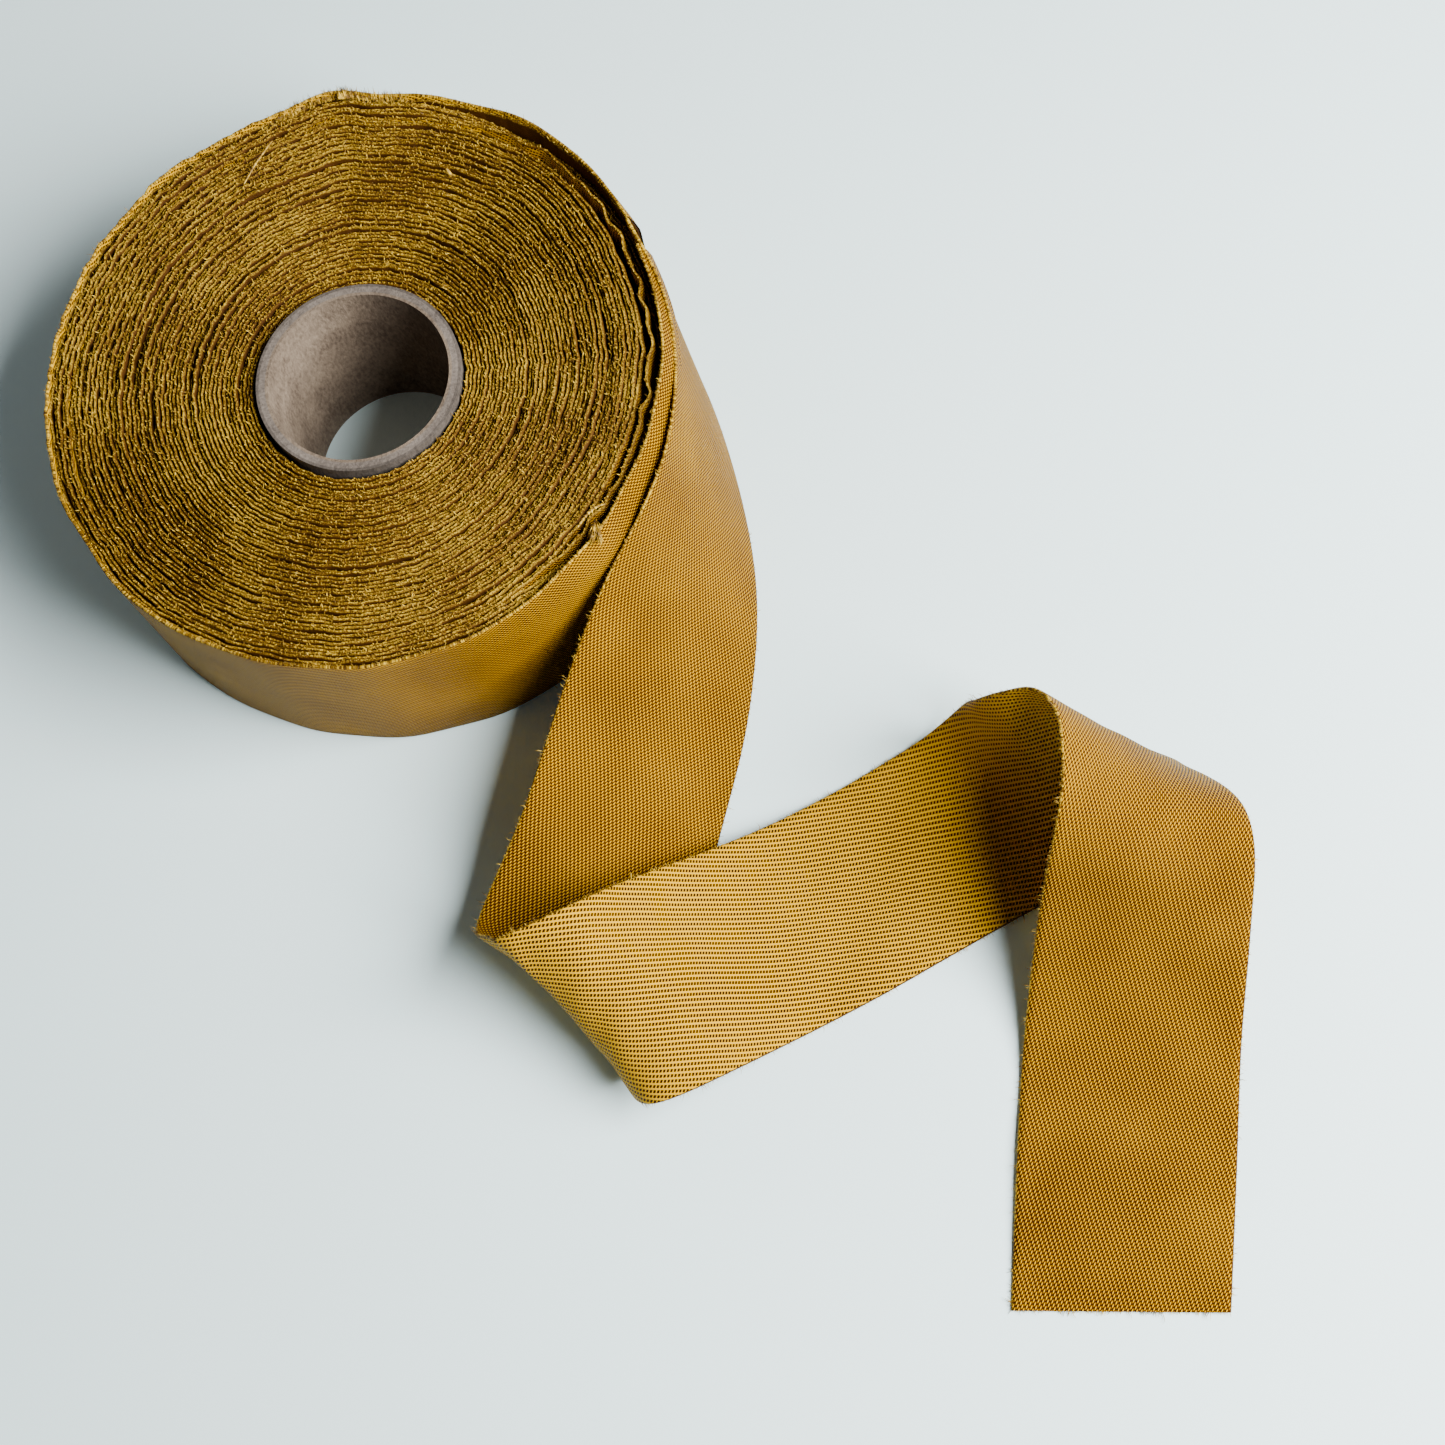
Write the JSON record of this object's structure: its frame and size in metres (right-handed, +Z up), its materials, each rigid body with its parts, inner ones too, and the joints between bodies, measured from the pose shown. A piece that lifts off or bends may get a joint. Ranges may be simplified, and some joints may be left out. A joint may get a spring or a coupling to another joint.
{
  "type": "ribbon roll",
  "caption": "Roll of frayed-edge bias-cut woven ribbon wound on a plain cardboard tube, its loose end folded over itself and lying in front.",
  "frame": {"origin": "on the axis of the cardboard tube's bore, at the surface the roll stands on", "axes": "+Z up along the tube's bore; the loose end lies towards -Y and +X"},
  "size_m": [0.246, 0.2512, 0.0435],
  "materials": {
    "cardboard_core": "matt",
    "tape": "satin",
    "ribbon": "matt woven cloth with frayed cut edges"
  },
  "bodies": {
    "roll": {"core_inner_ply": "cardboard_core", "core_middle_ply": "cardboard_core", "core_outer_ply": "cardboard_core", "start_tape": "tape", "inner_winding": "ribbon", "eye_join": "ribbon", "outer_winding": "ribbon", "rim_join": "ribbon"},
    "leading_ribbon": {"outer_turn": "ribbon", "first_length": "ribbon", "first_fold": "ribbon"},
    "middle_ribbon": {"second_length": "ribbon", "second_fold": "ribbon"},
    "ribbon_end": {"end_length": "ribbon"}
  },
  "joints": [
    {"name": "pay_out", "type": "hinge", "parent": "roll", "child": "leading_ribbon", "pos_m": [-0.0005, 0.0026, 0], "axis": [0, 0, 1], "continuous": true},
    {"name": "first_fold_opens", "type": "hinge", "parent": "leading_ribbon", "child": "middle_ribbon", "pos_m": [0.041, -0.126, 0.012], "axis": [0.7071, -0.7071, 0], "range_deg": [0, 60], "deforming": ["first_fold"]},
    {"name": "second_fold_opens", "type": "hinge", "parent": "middle_ribbon", "child": "ribbon_end", "pos_m": [0.146, -0.078, 0.016], "axis": [-0.8873, 0.4612, 0], "range_deg": [0, 75], "deforming": ["second_fold"]}
  ]
}
